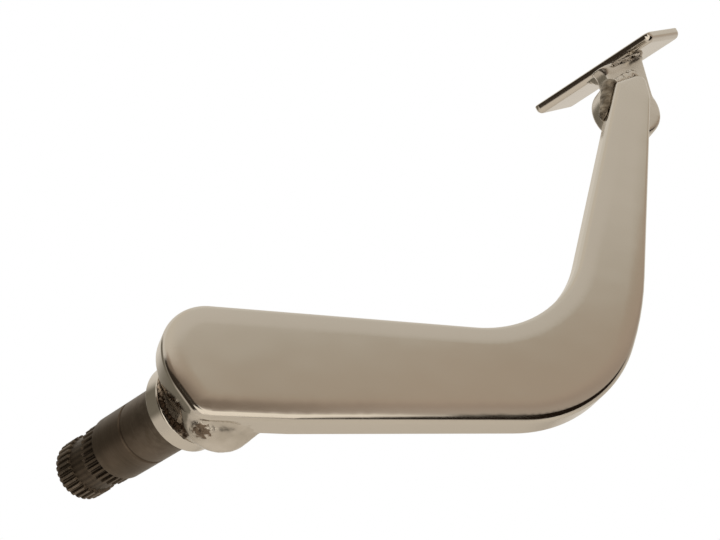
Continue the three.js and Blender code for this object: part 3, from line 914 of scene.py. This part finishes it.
# Piece, CAD node, growth over the gaps round it, voxel, smoothing passes, ripple, material, slot
WELDS = [
    ("hub_bead", "hub_weld_notch", -0.2, 0.3, 3, 0.4, ROUGH_WELD, BEADED),
    ("neck_bead", "neck_weld_front", 0.4, 0.35, 9, 0.35, DRESSED_WELD, BEADED),
    ("neck_edge_bead", "neck_weld_side", 0.45, 0.35, 9, 0.35, SMOKED_WELD, BEADED),
    ("pad_front_weld", "pad_weld_front", -1.1, 0.3, 12, 0.2, DRESSED_WELD, PLATED),
    ("pad_rear_weld", "pad_weld_rear", 0.5, 0.4, 16, 0.2, DRESSED_WELD, PLATED),
]


def weld(name, cad_node, grow, voxel, smooth, ripple, material, slot):
    """Bead melted into one skin and left uneven."""
    piece = grown_copy(name, cad_node, grow)
    melt(piece, voxel, smooth)
    shade_ripple(piece, ripple, 0.0)
    return finish_piece(piece, material, cad_node)


def hub_lump():
    """Weld ground smooth under the hub: it melts into the lever's side and the collar."""
    bm = bmesh.new()
    merged_copy(bm, "pedal_arm", 0.0)
    matrix = lever_matrix()
    front = matrix @ Vector((0, LUMP_FRONT * MM, 0))
    keep_side(bm, front, matrix.to_3x3() @ Vector((0, 1, 0)))
    keep_side(bm, Vector((LUMP_FORE_END * MM, 0, 0)), Vector((-1, 0, 0)))
    keep_side(bm, Vector((LUMP_REAR_END * MM, 0, 0)), Vector((1, 0, 0)))
    keep_side(bm, Vector((0, 0, LUMP_TOP * MM)), Vector((0, 0, -1)))
    merged_copy(bm, "hub_weld_fillet", LUMP_GROWTH)
    across, deep, high = LOBE_HALF_SIZE
    low = cad_bounds[0][2] / MM
    lobe = bmesh.ops.create_icosphere(bm, subdivisions=LOBE_FINENESS, radius=MM)
    for vert in lobe["verts"]:
        vert.co.x = vert.co.x * across + LOBE_FORWARD * MM
        vert.co.y = vert.co.y * deep - LOBE_DEPTH * MM
        vert.co.z = vert.co.z * high + (low + high + LOBE_LIFT) * MM
    piece = from_bmesh(bm, "hub_lump")
    melt(piece, LUMP_VOXEL, LUMP_SMOOTHING)
    shade_ripple(piece, LUMP_RIPPLE, LUMP_SWELL)
    return finish_piece(piece, HUB_WELD, "hub_weld_fillet")


def welds():
    hub_bead, *head_beads = WELDS
    weld(*hub_bead)
    hub_lump()
    for bead in head_beads:
        weld(*bead)


# ---------------------------------------------------------------- head

def pad_underside():
    """A point in the middle of the pad plate's underside, and the plate's upward normal."""
    face = next(m for m in frame["record"]["mounts"] if m["name"] == "pad_face")
    normal = Vector(face["axis"])
    return Vector(face["pos_m"]) - normal * PAD_THICKNESS * MM, normal


def skirt(bm):
    """Flared weld round the top of the stem, following the slope of the pad plate."""
    under, _ = pad_underside()
    middle_z = ARM_RISE - EYE_DROP
    middle_x = (outer_edge(middle_z) + inner_edge(middle_z)) / 2 + EYE_FORWARD + STEM_FORWARD
    middle_y = ARM_TIP_THICKNESS + STEM_THICKNESS / 2 + STEM_GAP
    matrix = lever_matrix()
    rings = []
    for k in range(SKIRT_RINGS):
        share = k / (SKIRT_RINGS - 1)
        flare = SKIRT_SPREAD * (1 - share) ** 2 - SKIRT_SINK
        half_x, half_y = STEM_WIDTH / 2 + flare, STEM_THICKNESS / 2 + min(flare, SKIRT_SINK)
        radius = SKIRT_RADIUS + flare / 2
        ring = []
        for step in rounded_rectangle(half_x, half_y, radius):
            spot = matrix @ Vector(((middle_x + step.x) * MM, (middle_y + step.y) * MM, 0))
            spot.z = under.z + (spot.x - under.x) * math.tan(rad(PAD_TILT))
            spot.z -= SKIRT_DROP * share * MM
            ring.append(spot)
        rings.append(ring)
    least = min(len(ring) for ring in rings)
    made = []
    for ring in rings:
        picked = [ring[int(i * len(ring) / least)] for i in range(least)]
        made.append([bm.verts.new(spot) for spot in picked])
    wrap(bm, made)


def stem():
    """Keyhole stem, with every corner round it filled by dressed weld."""
    bm = bmesh.new()
    merged_copy(bm, "pad_stem", STEM_GROWTH)
    merged_copy(bm, "pad_weld_rear", STEM_WELD_GROWTH)
    skirt(bm)
    piece = from_bmesh(bm, "stem")
    melt(piece, STEM_VOXEL, STEM_SMOOTHING)
    shade_ripple(piece, STEM_RIPPLE, STEM_SWELL)
    under, normal = pad_underside()
    for vert in piece.data.vertices:
        vert.co -= normal * max((vert.co - under).dot(normal), 0)
    return finish_piece(piece, DRESSED_PLATE, "pad_stem")


def pad_plate():
    """Bare plate, its edges broken by the buff and most of all underneath."""
    outline = rounded_rectangle(PAD_WIDTH / 2, PAD_LENGTH / 2, PAD_CORNER)
    levels = quarter_round(PAD_LOW_ROLL, ROLL_STEPS)
    levels += far_round(PAD_TOP_ROLL, THIN_ROLL_STEPS, PAD_THICKNESS)
    bm = bmesh.new()
    rings = []
    for inset, height in levels:
        edge = moved_in(outline, inset)
        rings.append([bm.verts.new((p.x * MM, p.y * MM, height * MM)) for p in edge])
    wrap(bm, rings)
    under, _ = pad_underside()
    place = Matrix.Translation(under) @ Matrix.Rotation(-rad(PAD_TILT), 4, "Y")
    bmesh.ops.transform(bm, matrix=place, verts=bm.verts)
    piece = even_shading(from_bmesh(bm, "pad_plate_blank"))
    return finish_piece(piece, PLATE, "pad_plate")


# ---------------------------------------------------------------- studio

def camera():
    data = bpy.data.cameras.new("camera")
    data.lens = CAMERA_LENS
    data.sensor_width = SENSOR_WIDTH
    data.clip_start, data.clip_end = CLIP_RANGE
    eye = bpy.data.objects.new("camera", data)
    right, up = Vector(CAMERA_RIGHT), Vector(CAMERA_UP)
    turn = Matrix((right, up, right.cross(up))).transposed().to_4x4()
    eye.matrix_world = Matrix.Translation(Vector(CAMERA_PLACE) * MM) @ turn
    bpy.context.scene.collection.objects.link(eye)
    bpy.context.scene.camera = eye


def floor():
    """Pale floor, laid out mostly behind the lever, that fades away at its edges."""
    low_x, low_y, high_x, high_y = FLOOR_EDGES
    z = cad_bounds[0][2] - FLOOR_DROP
    bm = bmesh.new()
    corners = [(low_x, low_y), (high_x, low_y), (high_x, high_y), (low_x, high_y)]
    bm.faces.new([bm.verts.new((x, y, z)) for x, y in corners])
    piece = from_bmesh(bm, "floor")
    material, tree, shader = new_material("pale_floor")
    shader.inputs["Base Color"].default_value = FLOOR_TONE
    shader.inputs["Roughness"].default_value = 0.9
    place = node(tree, "ShaderNodeTexCoord").outputs["Generated"]
    x, y, _ = node(tree, "ShaderNodeSeparateXYZ", {0: place}).outputs
    near = 1.0
    for share in (x, y):
        other = math_node(tree, "SUBTRACT", 1.0, share)
        near = math_node(tree, "MINIMUM", near, math_node(tree, "MINIMUM", share, other))
    fade = spread(tree, near, 0.0, FLOOR_FADE, curve="SMOOTHSTEP")
    tree.links.new(fade, shader.inputs["Alpha"])
    piece.data.materials.append(material)


def overhead_lamp():
    """Soft light from above, left out of the plating's reflections."""
    data = bpy.data.lights.new("overhead", "AREA")
    data.shape = "RECTANGLE"
    data.size = data.size_y = LAMP_SIZE
    data.energy = LAMP_POWER
    data.color = LAMP_TONE
    lamp = bpy.data.objects.new("overhead", data)
    lamp.location = LAMP_PLACE
    direction = Vector(LAMP_AIM) - Vector(LAMP_PLACE)
    lamp.rotation_euler = direction.to_track_quat("-Z", "Y").to_euler()
    lamp.visible_glossy = False
    bpy.context.scene.collection.objects.link(lamp)


def angle_mask(tree, angle, low, high, soft):
    """1 where an angle in degrees lies between two others, easing to 0 past them."""
    rise = spread(tree, angle, low - soft, low + soft, curve="SMOOTHSTEP")
    fall = spread(tree, angle, high - soft, high + soft, 1.0, 0.0, curve="SMOOTHSTEP")
    return math_node(tree, "MULTIPLY", rise, fall)


def elevation_ramp(tree, elevation, stops):
    """A colour by elevation, from (degrees, colour) stops."""
    share = math_node(tree, "MULTIPLY_ADD", elevation, 1 / 180, 0.5)
    return ramp(tree, share, [((degrees + 90) / 180, colour) for degrees, colour in stops])


# The studio's tones by elevation in degrees, on the side of the lever's front face and behind it,
# and the y of a direction over which one gives way to the other.
FRONT_TONES = [
    (-90, (0.60, 0.54, 0.47)),
    (0, (0.50, 0.44, 0.37)),
    (14, (0.39, 0.31, 0.245)),
    (19, (0.45, 0.36, 0.28)),
    (24.3, (0.445, 0.37, 0.285)),
    (25.4, (0.535, 0.49, 0.41)),
    (30, (0.615, 0.565, 0.49)),
    (90, (0.70, 0.66, 0.59)),
]
BACK_TONES = [
    (-90, (0.60, 0.54, 0.47)),
    (-5, (0.58, 0.52, 0.44)),
    (8, (0.66, 0.61, 0.54)),
    (40, (0.74, 0.69, 0.61)),
    (90, (0.70, 0.66, 0.59)),
]
FRONT_EASE = (-0.45, -0.15)

# Walls of the studio as the plating sees them: azimuth from +X towards +Y, elevation, softness
# in degrees, then the tone.
ROOM_CARDS = [
    ((178, 246), (22, 95), (7, 2), (0.66, 0.60, 0.51)),  # light wall, high on the left
    ((84, 142), (-12, 38), (8, 7), (0.18, 0.16, 0.125)),  # doorway behind the shaft
    ((145, 243), (-36, 16), (5, 3), (0.035, 0.026, 0.018)),  # dark wall on the left
    ((268, 318), (-64, 4.5), (1.0, 2.0), (0.012, 0.007, 0.004)),  # dark gap low in front
    ((237, 267), (-62, 4), (2.4, 3), (1.02, 0.93, 0.80)),  # bright card low on the left
    ((197, 240), (-62, -13), (5, 3), (1.02, 0.93, 0.80)),  # the same card, further round
    ((180, 262), (6, 18), (6, 4), (0.21, 0.16, 0.12)),  # skirting under the light wall
]


def room():
    """White backdrop for the eye; for reflections, a warm studio with dark and light walls."""
    world = bpy.data.worlds.new("room")
    bpy.context.scene.world = world
    world.use_nodes = True
    tree = world.node_tree
    tree.nodes.clear()
    way = node(tree, "ShaderNodeTexCoord").outputs["Generated"]
    x, y, z = node(tree, "ShaderNodeSeparateXYZ", {0: way}).outputs
    to_degrees = 180 / math.pi
    turn = math_node(tree, "MULTIPLY", math_node(tree, "ARCTAN2", y, x), to_degrees)
    azimuth = math_node(tree, "FLOORED_MODULO", turn, 360.0)
    elevation = math_node(tree, "MULTIPLY", math_node(tree, "ARCSINE", z), to_degrees)
    ahead = spread(tree, y, *FRONT_EASE)
    front = elevation_ramp(tree, elevation, FRONT_TONES)
    walls = mixed(tree, ahead, front, elevation_ramp(tree, elevation, BACK_TONES))
    for (left, right), (low, high), (soft_side, soft_end), tone in ROOM_CARDS:
        beside = angle_mask(tree, azimuth, left, right, soft_side)
        within = angle_mask(tree, elevation, low, high, soft_end)
        walls = mixed(tree, math_node(tree, "MULTIPLY", beside, within), walls, tone)
    lit = node(tree, "ShaderNodeBackground", {"Color": walls, "Strength": 1.0})
    white = node(tree, "ShaderNodeBackground", {"Color": (1, 1, 1, 1), "Strength": 1.0})
    eye = node(tree, "ShaderNodeLightPath").outputs["Is Camera Ray"]
    mix = node(tree, "ShaderNodeMixShader", {0: eye})
    tree.links.new(lit.outputs[0], mix.inputs[1])
    tree.links.new(white.outputs[0], mix.inputs[2])
    out = node(tree, "ShaderNodeOutputWorld")
    tree.links.new(mix.outputs[0], out.inputs["Surface"])


camera()
room()
overhead_lamp()
floor()
lever()
shaft()
collar()
boss()
welds()
stem()
pad_plate()

bpy.context.scene.view_settings.view_transform = "Standard"
